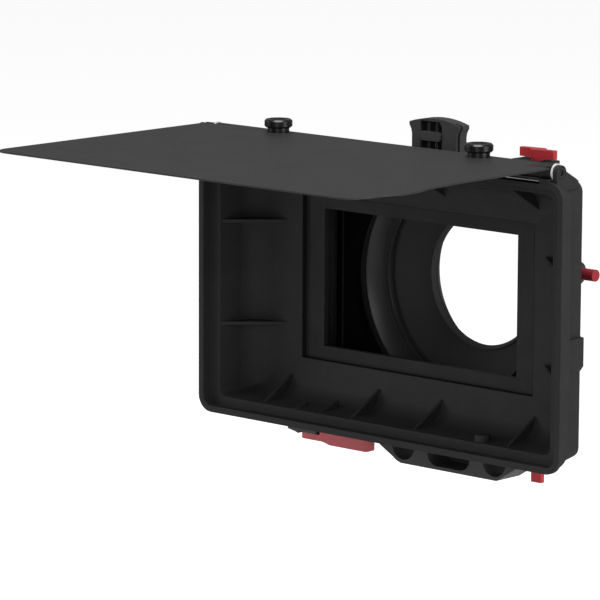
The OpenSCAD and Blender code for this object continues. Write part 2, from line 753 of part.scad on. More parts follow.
module pivot_screw() {
    color("#1d1e20") at_mask() translate([ear_out - 1.2, hinge_y, hinge_z]) rotate([0, 90, 0]) {
        translate([0, 0, -pivot_len]) cylinder(r = pivot_r, h = pivot_len + eps);
        difference() {
            cylinder(r = pivot_head_r, h = 1.2);
            translate([0, 0, 0.3]) cylinder(r = 1.6, h = over, $fn = 6);
        }
    }
}

module tension_knob() {
    grip_r = 3.4;
    color("#1d1e20") at_mask() translate([-ear_out - running, hinge_y, hinge_z]) rotate([0, -90, 0]) {
        translate([0, 0, -pivot_len - 1.2]) cylinder(r = pivot_r, h = pivot_len + 1.2 + eps);
        cylinder(r = grip_r, h = 4.5);
        cylinder(r = 2.3, h = 6.6);
        translate([0, 0, 6.4]) cylinder(r = 2.95, h = 1.7);
    }
}

module hinge_washers() {
    color("#f2f2f0") at_mask() mirrored() translate([0, hinge_y, hinge_z]) difference() {
        rod_x(washer_r, ear_in - washer_t - seat_gap / 2, ear_in - seat_gap / 2);
        rod_x(pivot_r + running, ear_in - washer_t - over, ear_in + over);
    }
}

module lock_housing() {
    notch = wing_x + 4.5;
    color("#2d2e31") at_mask() difference() {
        union() {
            block([lock_x0, lock_front, band_back_up + 0.1], [lock_x1, band_rear + over, lock_top]);
            block([lock_x0, band_rear + eps, rear_up + eps], [lock_x1, lock_rear, lock_top]);
        }
        block([notch, lock_front - over, lock_top - 1], [notch + 1.5, lock_rear + over, lock_top + over]);
        translate([wing_x, lock_y, rear_up - over]) cylinder(r = wing_stem_r + running, h = 20);
    }
}

module pin_bush() {
    color("#1f2023") at_mask() translate([0, pin_y, pin_up]) difference() {
        union() {
            rod_x(sleeve_r, guide_in + 2, stage_half + eps);
            rod_x(bush_r, stage_half + eps, stage_half + 3.3);
        }
        rod_x(pin_shaft_r + running, guide_in, stage_half + 4);
        rod_x(chamber_r, guide_in + 2 - over, stage_half + 0.5);
    }
}

module pin_spring() {
    color("#9ea2a8") at_mask() translate([0, pin_y, pin_up]) difference() {
        rod_x(chamber_r - 0.15, guide_in + 3.6, stage_half + 0.45);
        rod_x(pin_shaft_r + 0.15, guide_in, stage_half + over);
    }
}

module pull_pin() {
    start = stage_half + 3.3 + seat_gap;
    color("#c81f30") at_mask() translate([0, pin_y, pin_up]) {
        rod_x(pin_shaft_r, guide_in + 0.6, start + eps);
        rod_x(pin_collar_r, guide_in + 2.1, guide_in + 3.5);
        rod_x(pin_r - 0.3, start, start + 0.7);
        rod_x(pin_r, start + 0.7 - eps, start + pin_len);
    }
}

module stage_screws() {
    color("#17181a") at_mask() at_stage_screws() translate([0, stage_rear - screw_sink + eps, 0])
        rotate([-90, 0, 0]) socket_screw(stage_screw_r, stage_rear - screw_sink + 1.2, screw_head_r, screw_head_h);
}

module bracket_screws() {
    color("#17181a") at_mask() at_bracket_screws() translate([0, 0, -2 * eps]) rotate([180, 0, 0])
        socket_screw(bracket_screw_r, flange_t + bracket_screw_grip - 0.3, 2, 2);
}

module adapter_screws() {
    color("#b9bcc0") at_mask() at_adapter_screws() translate([0, 0, over + collar_wall + eps])
        socket_screw(adapter_screw_r, collar_wall + seat_gap + 0.4, 2.6, 3);
}

module cone_screws() {
    color("#17181a") at_mask() at_cone_screws() translate([0, adapter_rear + cone_flange + eps, 0])
        rotate([-90, 0, 0]) socket_screw(cone_screw_r, cone_flange + 3, 1.5, 1.4);
}

module clamp_ring_screws() {
    color("#17181a") at_mask() at_clamp_ring_screws()
        translate([0, mask_to_stop + clamp_len - 2.4 + eps, 0]) rotate([-90, 0, 0])
            socket_screw(ring_screw_r, clamp_len - 2.4 + 2.6, ring_screw_head, 2);
}

// Plan of the flag: round front corners, a finger tab on the right and corners cut for the hinge
module flag_plan() {
    half = flag_w / 2;
    r = flag_corner;
    cut_x = knuckle_in - clear;
    right_r = flag_right_corner;
    translate([-half, flag_front + r]) square([flag_w, corner_right - flag_front - r]);
    translate([-half, corner_right - eps]) square([half, corner_left - corner_right]);
    translate([-cut_x, corner_right - eps]) square([2 * cut_x, flag_rear - corner_right]);
    translate([-half + r, flag_front]) square([flag_w - r - right_r, r + eps]);
    translate([half - right_r, flag_front + right_r]) square([right_r, r - right_r + eps]);
    translate([-half + r, flag_front + r]) circle(r);
    translate([half - right_r, flag_front + right_r]) circle(right_r);
    polygon([for (p = tab_outline) [half + p[1] * flag_tab, flag_front + p[0]]]);
}

module top_flag() {
    color("#444548") at_mask() difference() {
        translate([0, 0, seat_z]) linear_extrude(flag_t) flag_plan();
        for (x = [-knob_x, knob_x]) translate([x, hinge_y - knob_ahead, seat_z - over])
            cylinder(r = knob_stem_r + running, h = flag_t + 2 * over);
    }
}

module hinge_bar() {
    color("#303134") at_mask() difference() {
        union() {
            translate([-knuckle_in, hinge_y, hinge_z]) rotate([90, 0, 90]) linear_extrude(2 * knuckle_in) {
                intersection() {
                    circle(bar_r);
                    translate([-bar_r, -bar_r]) square([2 * bar_r, bar_r + seat_rise - eps]);
                }
                polygon([
                    [-bar_front, 0.8], [-bar_toe, -bar_toe_drop], [0, -bar_toe_drop], [0, 0], [bar_r, 0],
                    [bar_r, seat_rise - eps], [-bar_front, seat_rise - eps]
                ]);
            }
            block([knuckle_in - seat_gap, corner_right + seat_gap, seat_z], [knuckle_end, hinge_y, flag_top]);
            mirrored() translate([0, hinge_y, hinge_z]) rod_x(knuckle_r, knuckle_in - eps, knuckle_end);
        }
        mirrored() translate([0, hinge_y, hinge_z]) rod_x(pivot_r + running, knuckle_in - 4, knuckle_end + over);
        for (x = [-knob_x, knob_x]) translate([x, hinge_y - knob_ahead, seat_z - stem_depth - 0.4])
            cylinder(r = knob_stem_r + running, h = stem_depth + over);
    }
}

module flag_knob(side) {
    bevel = 0.8;
    foot = knob_h * 0.34;
    color("#202124") at_mask() translate([side * knob_x, hinge_y - knob_ahead, flag_top + running]) {
        translate([0, 0, -flag_t - stem_depth]) cylinder(r = knob_stem_r, h = flag_t + stem_depth + eps);
        rotate_extrude($fn = 96) polygon([
            [0, 0], [knob_collar_r, 0], [knob_collar_r, foot], [knob_r - bevel, foot],
            [knob_r, foot + bevel], [knob_r, knob_h - bevel], [knob_r - bevel, knob_h],
            [knob_r * 0.68, knob_h], [knob_r * 0.5, knob_h - 0.6], [0, knob_h - 0.8]
        ]);
    }
}

module tray_frame() {
    clear_w = filter_w / 2 - tray_border;
    clear_h = filter_h / 2 - tray_border;
    pocket_w = filter_w / 2 + seat_gap;
    pocket_z = filter_h / 2 + seat_gap;
    color("#2a2b2e") at_mask() difference() {
        union() {
            along_y(tray_front, tray_rear) round_rect([-tray_w / 2, -tray_down], [tray_w / 2, tray_up], 3);
            along_y(neck_front, neck_rear)
                translate([-neck_half, tray_up - over]) square([2 * neck_half, neck_top - tray_up + over]);
            along_y(tray_front, tray_rear)
                translate([-neck_half - 6, tray_up - over]) square([2 * neck_half + 12, over + 3]);
        }
        along_y(tray_front - over, tray_rear + over)
            translate([-clear_w, -clear_h]) square([2 * clear_w, 2 * clear_h]);
        along_y(tray_rear - filter_t - seat_gap, tray_rear + over)
            translate([-pocket_w, -pocket_z]) square([2 * pocket_w, 2 * pocket_z]);
        for (x = window_cells)
            block([x[0], neck_front - over, window_z0], [x[1], neck_rear + over, neck_top + over]);
        at_handle_screws() rod_y(handle_screw_r + running, neck_front - over, neck_rear + over);
    }
}

module at_handle_screws() for (x = [-neck_half + 2.2, neck_half - 2.2]) translate([x, 0, handle_root + 3]) children();

// Front view of the handle: straight sides, flared top corners and an arched top
module handle_outline(root) {
    half = handle_w / 2;
    wide = half + handle_flare;
    shoulder = handle_top - 3.6;
    arch_r = (wide * wide + 2.6 * 2.6) / (2 * 2.6);
    intersection() {
        polygon([
            [-half, root], [half, root], [half, shoulder - 5], [half + 0.5, shoulder - 2.6],
            [wide, shoulder - 0.6], [wide, handle_top + over], [-wide, handle_top + over],
            [-wide, shoulder - 0.6], [-half - 0.5, shoulder - 2.6], [-half, shoulder - 5]
        ]);
        translate([0, handle_top - arch_r]) circle(arch_r, $fn = 240);
    }
}

module handle_front() {
    corner = 1.6;
    color("#28292c") at_mask() difference() {
        along_y(handle_front_y, handle_front_y + handle_front_t) intersection() {
            handle_outline(handle_root);
            translate([-handle_w, handle_root]) square([2 * handle_w, handle_cap - handle_root]);
        }
        along_y(handle_front_y - over, handle_front_y + handle_front_t + over) polygon([
            [window_x0, window_z0], [window_x1, window_z0], [window_x1, handle_cap - 1.5 * corner],
            [window_x1 - corner, handle_cap], [window_x1 - corner, handle_cap + over],
            [window_x0, handle_cap + over]
        ]);
        at_handle_screws() rod_y(handle_screw_r + running, handle_front_y - over, handle_back_y);
    }
}

module handle_back() {
    color("#343539") at_mask() difference() {
        union() {
            along_y(handle_back_y, tray_rear) handle_outline(handle_root);
            along_y(handle_front_y, handle_back_y + eps) intersection() {
                handle_outline(handle_root);
                translate([-handle_w, handle_cap + eps]) square([2 * handle_w, handle_top - handle_cap]);
            }
        }
        block([-neck_half - seat_gap, handle_front_y, handle_root - over],
            [neck_half + seat_gap, neck_rear + eps, neck_top + seat_gap]);
        at_handle_screws() rod_y(handle_screw_r + running, handle_back_y - over, tray_rear + over);
        at_handle_screws() rod_y(handle_screw_head + running, tray_rear - 1.2, tray_rear + over);
    }
}

module handle_screws() {
    color("#17181a") at_mask() at_handle_screws() translate([0, tray_rear - 1.2 + eps, 0]) rotate([-90, 0, 0])
        socket_screw(handle_screw_r, tray_rear - 1.4 - handle_front_y, handle_screw_head, 1.1);
}

module tray_latch() {
    color("#4a4b50") at_mask() {
        along_y(handle_front_y - 0.9, handle_front_y + handle_front_t - 0.1)
            round_rect([window_x0 + clear, latch_z - latch_h], [window_x1 - clear, latch_z], 1.6);
        block([latch_x - latch_half, handle_front_y + handle_front_t - 0.2, latch_foot],
            [latch_x + latch_half, neck_rear - 0.3, latch_z - 0.6]);
    }
}

module latch_spring() {
    gap = 0.05;
    color("#9ea2a8") at_mask() translate([latch_x, (neck_front + neck_rear) / 2, window_z0 + gap]) difference() {
        cylinder(r = 0.95, h = latch_foot - window_z0 - 2 * gap);
        translate([0, 0, -over]) cylinder(r = 0.5, h = 20);
    }
}

module lock_wing() {
    hub_r = 3.9;
    neck = 1;
    base = lock_top + running;
    color("#cf2233") at_mask() translate([wing_x, lock_y, 0]) {
        translate([0, 0, wing_stem_foot]) cylinder(r = wing_stem_r, h = base + neck - wing_stem_foot);
        translate([0, 0, base]) cylinder(r = hub_r - 0.3, h = neck + eps);
        translate([0, 0, base + neck]) {
            cylinder(r = hub_r, h = wing_t);
            linear_extrude(wing_t) for (s = [1, -1]) scale([s, s]) polygon([
                [0, -hub_r], [hub_r * 0.4, -hub_r * 0.92], [wing_len / 2 - 0.6, -wing_w + 0.8],
                [wing_len / 2, -wing_w + 1.2], [wing_len / 2, 0.4], [wing_len / 2 - 0.4, 0.8],
                [hub_r + 0.9, 0.8], [hub_r * 0.8, hub_r * 0.6], [0, 0]
            ]);
        }
    }
}

module release_lever() {
    r = lever_w / 2;
    hub_top = lever_foot_end - running;
    start = lever_foot_right + 2.2;
    drop = hub_bottom - paddle_bottom;
    bend = lever_x + 12.4;
    end = lever_x + 11.7 + paddle_len;
    corner = 1.5;
    color("#c02a38") at_mask() difference() {
        intersection() {
            along_y(lever_y - r, lever_y + r) polygon([
                [lever_x - r, hub_top], [start, hub_top], [start, paddle_top], [end, paddle_top],
                [end, paddle_bottom + corner], [end - 0.3 * corner, paddle_bottom + 0.3 * corner],
                [end - corner, paddle_bottom], [bend + 6.3, paddle_bottom],
                [bend + 4.9, paddle_bottom + 0.08 * drop], [bend + 3.7, paddle_bottom + 0.28 * drop],
                [bend + 2.5, paddle_bottom + 0.58 * drop], [bend + 1.3, paddle_bottom + 0.83 * drop],
                [bend, hub_bottom], [lever_x - r + 1, hub_bottom], [lever_x - r, hub_bottom + 0.6]
            ]);
            translate([0, 0, paddle_bottom - over]) linear_extrude(paddle_h + 2 * over) {
                translate([lever_x, lever_y]) circle(r);
                translate([end - r, lever_y]) circle(r);
                translate([lever_x, lever_y - r]) square([end - r - lever_x, 2 * r]);
            }
        }
        translate([lever_x, lever_y, hub_bottom - over]) {
            cylinder(r = lever_screw_r + running, h = 20);
            cylinder(r = lever_head_r + seat_gap, h = over + lever_sink);
        }
    }
}

module lever_screw() {
    gap = 0.15;
    color("#17181a") at_mask() translate([lever_x, lever_y, hub_bottom + lever_sink - gap]) rotate([180, 0, 0])
        socket_screw(lever_screw_r, 9, lever_head_r, lever_head_h);
}

module rod_clamp_screw() {
    head = shoulder_x + 3.5;
    color("#cf2233") at_mask() translate([0, clamp_axis_y, clamp_axis_z]) {
        rod_x(clamp_shaft_r, rod_spacing / 2 + rod_r + 3.2, head + eps);
        block([head, -clamp_wing_t / 2, -clamp_wing_span / 2], [head + clamp_wing_len, clamp_wing_t / 2, clamp_wing_span / 2]);
        rod_x(3.4, head, head + clamp_wing_len - 1.5);
    }
}

module clamp_shoe() {
    color("#b08d4a") at_mask() translate([0, clamp_axis_y, clamp_axis_z])
        rod_x(clamp_shaft_r - 0.1, rod_spacing / 2 + rod_r + 0.2, rod_spacing / 2 + rod_r + 3);
}

module lens_clamp_screw() {
    collar_t = 1.2;
    color("#1f2023") at_mask() translate([lug_half + running, mask_to_stop + clamp_len / 2, lug_z]) {
        rod_x(clamp_screw_r, -2 * lug_half, eps);
        rod_x(3.4, 0, collar_t);
        rod_x(4.6, collar_t - eps, collar_t + 6);
    }
}

hood();
mask_insert();
stage_front_plate();
tray_guide(-1);  // tray_guide_left
tray_guide(1);  // tray_guide_right
stage_floor();
stage_rear_plate();
adapter_ring();
lens_cone();
lens_clamp_ring();
rod_bracket();
hinge_wire();
pivot_screw();
tension_knob();
hinge_washers();
lock_housing();
pin_bush();
pin_spring();
stage_screws();
bracket_screws();
adapter_screws();
cone_screws();
clamp_ring_screws();
top_flag();
hinge_bar();
flag_knob(-1);  // flag_knob_left
flag_knob(1);  // flag_knob_right
tray_frame();
handle_front();
handle_back();
handle_screws();
tray_latch();
latch_spring();
lock_wing();
pull_pin();
release_lever();
lever_screw();
rod_clamp_screw();
clamp_shoe();
lens_clamp_screw();
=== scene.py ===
import math

import bpy
import numpy as np
from mathutils import Matrix, Vector


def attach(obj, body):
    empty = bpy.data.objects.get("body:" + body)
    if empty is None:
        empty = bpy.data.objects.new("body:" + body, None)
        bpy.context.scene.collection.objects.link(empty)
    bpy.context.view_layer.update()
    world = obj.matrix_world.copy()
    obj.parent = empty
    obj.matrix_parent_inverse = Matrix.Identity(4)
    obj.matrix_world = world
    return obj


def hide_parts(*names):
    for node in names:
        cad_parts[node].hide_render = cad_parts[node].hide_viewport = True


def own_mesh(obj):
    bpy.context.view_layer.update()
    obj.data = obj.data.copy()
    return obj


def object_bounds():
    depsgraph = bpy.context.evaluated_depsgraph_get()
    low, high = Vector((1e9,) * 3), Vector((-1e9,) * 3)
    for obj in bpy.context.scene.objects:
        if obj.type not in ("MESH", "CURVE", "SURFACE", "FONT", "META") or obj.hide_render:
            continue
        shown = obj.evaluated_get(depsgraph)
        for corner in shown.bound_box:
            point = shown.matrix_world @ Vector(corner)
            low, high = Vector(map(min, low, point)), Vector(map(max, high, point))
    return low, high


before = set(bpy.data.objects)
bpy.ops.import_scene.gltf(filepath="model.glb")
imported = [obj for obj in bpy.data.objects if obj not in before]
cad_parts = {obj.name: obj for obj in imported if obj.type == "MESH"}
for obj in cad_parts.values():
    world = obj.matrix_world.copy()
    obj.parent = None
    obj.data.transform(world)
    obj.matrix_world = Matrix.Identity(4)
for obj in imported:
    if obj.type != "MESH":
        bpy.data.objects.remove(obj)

MM = 0.001
cad_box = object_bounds()

# Where the photograph was taken from, with lengths in millimetres
MASK_STATION = -59.5
CAMERA_AZIMUTH = math.radians(42.6256)
CAMERA_ELEVATION = math.radians(9.7215)
CAMERA_ROLL = math.radians(0.2574)
CAMERA_DISTANCE = 2077.80
CAMERA_ASIDE = -59.426
CAMERA_UP = -4.2765
FOCAL_PIXELS = 4210.2
IMAGE_PIXELS = 600
SENSOR_WIDTH = 36.0
# The nearest and farthest that the camera shows, in metres
CLIP_NEAR = 0.05
CLIP_FAR = 60

# Sizes that the extra pieces fit, in millimetres; a station is counted back from the mask
CAVITY_FRONT = -29.9
CAVITY_BACK = -9.8
CAVITY_MOUTH = (108.2, 62.0, 62.9)
CAVITY_REAR = (103.87, 59.52, 60.38)
POCKET_EDGE = (75.4, 42.1, 42.1)
FUNNEL_DEPTH = 6.0
COVE_AHEAD = 9.0
COVE_INWARD = 0.38
COVE_BEHIND = 0.8
COVE_SUNK = 0.06
SNAP_STATION = 23.6
SNAP_RADIUS = 60.7
SNAP_WIRE = 0.5
LIP_STATION = 60.5
LIP_RADIUS = 41.2
LIP_WIRE = 1.2
STOP_MOUTH = 34.8
STOP_BORE = 33.3
STOP_FRONT = 48.4
STOP_REAR = 50.3
STOP_RIM = 0.6
STOP_BEVEL = 0.1
STOP_FOOT = 0.9
SEAL_X = 67.0
SEAL_HALF = 0.6
SEAL_LOW = -46.0
SEAL_HIGH = 47.0
SEAL_STATION = 17.2
SEAL_THICK = 0.25
SEAL_SUNK = 0.02
PIN_Y = -46.2
PIN_Z = 17.7
LATCH_X = -1.6
LATCH_Y = -47.25

# How finely the extra pieces are divided
FOLD_ANGLE = 0.9
TUBE_SIDES = 8
TURN_POINTS = 28
RING_SIDES = 160
WIRE_SIDES = 12
COVE_ROWS = 15
COVE_POINTS = 40
SEAL_ROWS = 24
SEAL_POINTS = 9

# Areas given a painted shade, darker and duller, in metres: half width and height about the optical axis, and
# rear limit
STAGE_SHADE_HALF = (0.0755, 0.0605)
STAGE_SHADE_REAR = -0.0371
POCKET_SHADE_HALF = (0.0757, 0.0423)
POCKET_SHADE_REAR = 0.0

# How much paler an edge is than the lighter tone (gain, lift), partly wear and partly painted highlight, and
# how far the roughness goes each way
PLASTIC_EDGE = (1.5, 0.03)
PLASTIC_SPREAD = 0.06
METAL_EDGE = (1.25, 0.05)
METAL_SPREAD = 0.05
MARK_DEPTH = 0.00001
# Gloss where the painted shade lies, so that the shaded part shows almost no reflection
SHADE_GLOSS = 0.02


def photo_camera():
    """Camera axes from azimuth, elevation and roll; its place is aside, up and back along those axes."""
    a, e, roll = CAMERA_AZIMUTH, CAMERA_ELEVATION, CAMERA_ROLL
    right = Vector((math.cos(a), math.sin(a), 0))
    back = Vector((math.sin(a) * math.cos(e), -math.cos(a) * math.cos(e), math.sin(e)))
    up = back.cross(right)
    right, up = (math.cos(roll) * right + math.sin(roll) * up,
                 math.cos(roll) * up - math.sin(roll) * right)
    place = CAMERA_ASIDE * right + CAMERA_UP * up + CAMERA_DISTANCE * back + Vector((0, MASK_STATION, 0))
    data = bpy.data.cameras.new("photo_camera")
    data.sensor_width = SENSOR_WIDTH
    data.lens = FOCAL_PIXELS / IMAGE_PIXELS * SENSOR_WIDTH
    data.clip_start, data.clip_end = CLIP_NEAR, CLIP_FAR
    camera = bpy.data.objects.new("photo_camera", data)
    bpy.context.scene.collection.objects.link(camera)
    turn = Matrix((right, up, back)).transposed()
    camera.matrix_world = Matrix.Translation(place * MM) @ turn.to_4x4()
    bpy.context.scene.camera = camera
    bpy.context.scene.view_settings.view_transform = "Standard"


# Shader helpers

def node(tree, kind, **inputs):
    """Adds a shader node; an input given as (node, output name) is linked, and any other value is set."""
    made = tree.nodes.new(kind)
    for key in [k for k in inputs if k.startswith("set_")]:
        setattr(made, key[4:], inputs.pop(key))
    for key, value in inputs.items():
        feed(tree, made, key.replace("_", " "), value)
    return made


def feed(tree, made, key, value):
    """Links or sets one input, named by its label, or by i and its number where labels repeat."""
    socket = made.inputs[int(key[1:])] if key[0] == "i" and key[1:].isdigit() else made.inputs[key]
    if isinstance(value, tuple) and len(value) == 2 and isinstance(value[0], bpy.types.Node):
        tree.links.new(value[0].outputs[value[1]], socket)
    else:
        socket.default_value = value


def new_group(name, ins, outs):
    """A shader group with named inputs (kind, default) and named outputs, and its two end nodes."""
    tree = bpy.data.node_groups.new(name, "ShaderNodeTree")
    kinds = {"value": "NodeSocketFloat", "vector": "NodeSocketVector"}
    for key, (kind, default) in ins.items():
        socket = tree.interface.new_socket(key, in_out="INPUT", socket_type=kinds[kind])
        socket.default_value = default
    for key, kind in outs.items():
        tree.interface.new_socket(key, in_out="OUTPUT", socket_type=kinds[kind])
    return tree, tree.nodes.new("NodeGroupInput"), tree.nodes.new("NodeGroupOutput")


def moulded_grain():
    """Grain of moulded plastic: fine and broad noise on Object coordinates, as height and as two tones."""
    tree, given, out = new_group("moulded_grain", {
        "Grain per metre": ("value", 1200.0), "Mottle per metre": ("value", 60.0),
    }, {"Height": "value", "Tone": "value", "Mottle": "value"})
    place = node(tree, "ShaderNodeTexCoord")
    fine = node(tree, "ShaderNodeTexNoise", Vector=(place, "Object"), Scale=(given, "Grain per metre"),
                Detail=2.0, Roughness=0.55)
    broad = node(tree, "ShaderNodeTexNoise", Vector=(place, "Object"), Scale=(given, "Mottle per metre"),
                 Detail=4.0, Roughness=0.6)
    tone = node(tree, "ShaderNodeMapRange", Value=(fine, "Fac"), From_Min=0.32, From_Max=0.68)
    mottle = node(tree, "ShaderNodeMapRange", Value=(broad, "Fac"), From_Min=0.3, From_Max=0.7)
    tree.links.new(fine.outputs["Fac"], out.inputs["Height"])
    tree.links.new(tone.outputs["Result"], out.inputs["Tone"])
    tree.links.new(mottle.outputs["Result"], out.inputs["Mottle"])
    return tree


def rounded_edges():
    """Edges softened to a small radius in the normal, and a mask that is 1 where the surface turns there: it
    pales the edges, partly as wear and partly as painted highlight.
    """
    tree, given, out = new_group("rounded_edges", {
        "Radius": ("value", 0.0004), "Wear": ("value", 0.5),
    }, {"Normal": "vector", "Edge": "value"})
    soft = node(tree, "ShaderNodeBevel", set_samples=4, Radius=(given, "Radius"))
    flat = node(tree, "ShaderNodeNewGeometry")
    bent = node(tree, "ShaderNodeVectorMath", set_operation="DOT_PRODUCT",
                i0=(soft, "Normal"), i1=(flat, "Normal"))
    edge = node(tree, "ShaderNodeMapRange", Value=(bent, "Value"), From_Min=0.995, From_Max=0.86)
    place = node(tree, "ShaderNodeTexCoord")
    patches = node(tree, "ShaderNodeTexNoise", Vector=(place, "Object"), Scale=90.0, Detail=3.0)
    broken = node(tree, "ShaderNodeMapRange", Value=(patches, "Fac"), From_Min=0.35, From_Max=0.7)
    edge_wear_and_highlight = node(tree, "ShaderNodeMath", set_operation="MULTIPLY",
                i0=(edge, "Result"), i1=(broken, "Result"))
    amount = node(tree, "ShaderNodeMath", set_operation="MULTIPLY",
                  i0=(edge_wear_and_highlight, "Value"), i1=(given, "Wear"))
    tree.links.new(soft.outputs["Normal"], out.inputs["Normal"])
    tree.links.new(amount.outputs["Value"], out.inputs["Edge"])
    return tree


def tool_marks():
    """Fine marks of machining: small noise on Object coordinates, as height and as tone."""
    tree, given, out = new_group("tool_marks", {"Marks per metre": ("value", 3000.0)},
                                 {"Height": "value", "Tone": "value"})
    place = node(tree, "ShaderNodeTexCoord")
    marks = node(tree, "ShaderNodeTexNoise", Vector=(place, "Object"), Scale=(given, "Marks per metre"),
                 Detail=2.0, Roughness=0.5)
    tone = node(tree, "ShaderNodeMapRange", Value=(marks, "Fac"), From_Min=0.3, From_Max=0.7)
    tree.links.new(marks.outputs["Fac"], out.inputs["Height"])
    tree.links.new(tone.outputs["Result"], out.inputs["Tone"])
    return tree


def painted_shade_box():
    """1 in the box about the optical axis where a part has its painted shade, darker and duller, else 0."""
    tree, given, out = new_group("painted_shade_box", {
        "Half width": ("value", STAGE_SHADE_HALF[0]), "Half height": ("value", STAGE_SHADE_HALF[1]),
        "Rear": ("value", STAGE_SHADE_REAR),
    }, {"Mask": "value"})
    place = node(tree, "ShaderNodeTexCoord")
    parts = node(tree, "ShaderNodeSeparateXYZ", Vector=(place, "Object"))
    aside = node(tree, "ShaderNodeMath", set_operation="ABSOLUTE", i0=(parts, "X"))
    high = node(tree, "ShaderNodeMath", set_operation="ABSOLUTE", i0=(parts, "Z"))
    narrow = node(tree, "ShaderNodeMath", set_operation="LESS_THAN",
                  i0=(aside, "Value"), i1=(given, "Half width"))
    low = node(tree, "ShaderNodeMath", set_operation="LESS_THAN",
               i0=(high, "Value"), i1=(given, "Half height"))
    front = node(tree, "ShaderNodeMath", set_operation="LESS_THAN", i0=(parts, "Y"), i1=(given, "Rear"))
    both = node(tree, "ShaderNodeMath", set_operation="MULTIPLY", i0=(narrow, "Value"), i1=(low, "Value"))
    mask = node(tree, "ShaderNodeMath", set_operation="MULTIPLY", i0=(both, "Value"), i1=(front, "Value"))
    tree.links.new(mask.outputs["Value"], out.inputs["Mask"])
    return tree


GRAIN = moulded_grain()
SHADE_BOX = painted_shade_box()
EDGES = rounded_edges()
MARKS = tool_marks()


def written(colour):
    """A colour written as sRGB shares, in the linear numbers that the sockets take."""
    c = np.asarray(colour, float)
    linear = np.where(c <= 0.04045, c / 12.92, ((c + 0.055) / 1.055) ** 2.4)
    return (*linear.tolist(), 1.0)


def group_node(tree, group, **inputs):
    """Adds a group to a shader, with its inputs linked or set as node() does."""
    made = tree.nodes.new("ShaderNodeGroup")
    made.node_tree = group
    for key, value in inputs.items():
        feed(tree, made, key.replace("_", " "), value)
    return made


def start_material(name):
    """A new material, its node tree and its shader."""
    material = bpy.data.materials.new(name)
    material.use_nodes = True
    tree = material.node_tree
    return material, tree, tree.nodes["Principled BSDF"]


def plastic(name, colour, lighter, rough, gloss, depth=0.00012, edge=0.0004, wear=0.5, shade_paint=None,
            half=STAGE_SHADE_HALF, rear=STAGE_SHADE_REAR):
    """Moulded plastic: grained, mottled between two tones, a little paler and smoother along its edges, the
    paler edges partly wear and partly painted highlight.

    Where shade_paint is a colour, the part has it as painted shade, with less gloss, within half, its half
    width and height, in front of rear."""
    material, tree, shader = start_material(name)
    skin = group_node(tree, GRAIN)
    rim = group_node(tree, EDGES, Radius=edge, Wear=wear)
    base = node(tree, "ShaderNodeMix", set_data_type="RGBA")
    tree.links.new(skin.outputs["Mottle"], base.inputs["Factor"])
    base.inputs[6].default_value, base.inputs[7].default_value = written(colour), written(lighter)
    edge_wear_and_highlight = node(tree, "ShaderNodeMix", set_data_type="RGBA")
    tree.links.new(rim.outputs["Edge"], edge_wear_and_highlight.inputs["Factor"])
    tree.links.new(base.outputs[2], edge_wear_and_highlight.inputs[6])
    gain, lift = PLASTIC_EDGE
    edge_wear_and_highlight.inputs[7].default_value = written([c * gain + lift for c in lighter])
    shader.inputs["Specular IOR Level"].default_value = gloss
    skinned = edge_wear_and_highlight
    # Painted shade: a darker, duller colour inside the given box
    if shade_paint is not None:
        shade_area = group_node(tree, SHADE_BOX, Half_width=half[0], Half_height=half[1], Rear=rear)
        skinned = node(tree, "ShaderNodeMix", set_data_type="RGBA")
        tree.links.new(shade_area.outputs["Mask"], skinned.inputs["Factor"])
        tree.links.new(edge_wear_and_highlight.outputs[2], skinned.inputs[6])
        skinned.inputs[7].default_value = written(shade_paint)
        dull = node(tree, "ShaderNodeMapRange", Value=(shade_area, "Mask"), To_Min=gloss, To_Max=SHADE_GLOSS)
        tree.links.new(dull.outputs["Result"], shader.inputs["Specular IOR Level"])
    tree.links.new(skinned.outputs[2], shader.inputs["Base Color"])
    roughness = node(tree, "ShaderNodeMapRange", Value=(skin, "Tone"),
                     To_Min=rough - PLASTIC_SPREAD, To_Max=rough + PLASTIC_SPREAD)
    tree.links.new(roughness.outputs["Result"], shader.inputs["Roughness"])
    bump = node(tree, "ShaderNodeBump", Strength=1.0, Distance=depth,
                Height=(skin, "Height"), Normal=(rim, "Normal"))
    tree.links.new(bump.outputs["Normal"], shader.inputs["Normal"])
    return material


def metal(name, colour, lighter, rough, shine, gloss=0.5):
    """Machined metal: fine tool marks in two close tones, and edges a little paler, partly where the finish
    thins and partly as painted highlight.
    """
    material, tree, shader = start_material(name)
    cut = group_node(tree, MARKS)
    rim = group_node(tree, EDGES, Radius=0.0003, Wear=0.4)
    base = node(tree, "ShaderNodeMix", set_data_type="RGBA")
    tree.links.new(cut.outputs["Tone"], base.inputs["Factor"])
    base.inputs[6].default_value, base.inputs[7].default_value = written(colour), written(lighter)
    edge_wear_and_highlight = node(tree, "ShaderNodeMix", set_data_type="RGBA")
    tree.links.new(rim.outputs["Edge"], edge_wear_and_highlight.inputs["Factor"])
    tree.links.new(base.outputs[2], edge_wear_and_highlight.inputs[6])
    gain, lift = METAL_EDGE
    edge_wear_and_highlight.inputs[7].default_value = written([min(1.0, c * gain + lift) for c in lighter])
    tree.links.new(edge_wear_and_highlight.outputs[2], shader.inputs["Base Color"])
    roughness = node(tree, "ShaderNodeMapRange", Value=(cut, "Tone"),
                     To_Min=rough - METAL_SPREAD, To_Max=rough + METAL_SPREAD)
    tree.links.new(roughness.outputs["Result"], shader.inputs["Roughness"])
    shader.inputs["Metallic"].default_value = shine
    shader.inputs["Specular IOR Level"].default_value = gloss
    bump = node(tree, "ShaderNodeBump", Strength=1.0, Distance=MARK_DEPTH,
                Height=(cut, "Height"), Normal=(rim, "Normal"))
    tree.links.new(bump.outputs["Normal"], shader.inputs["Normal"])
    return material
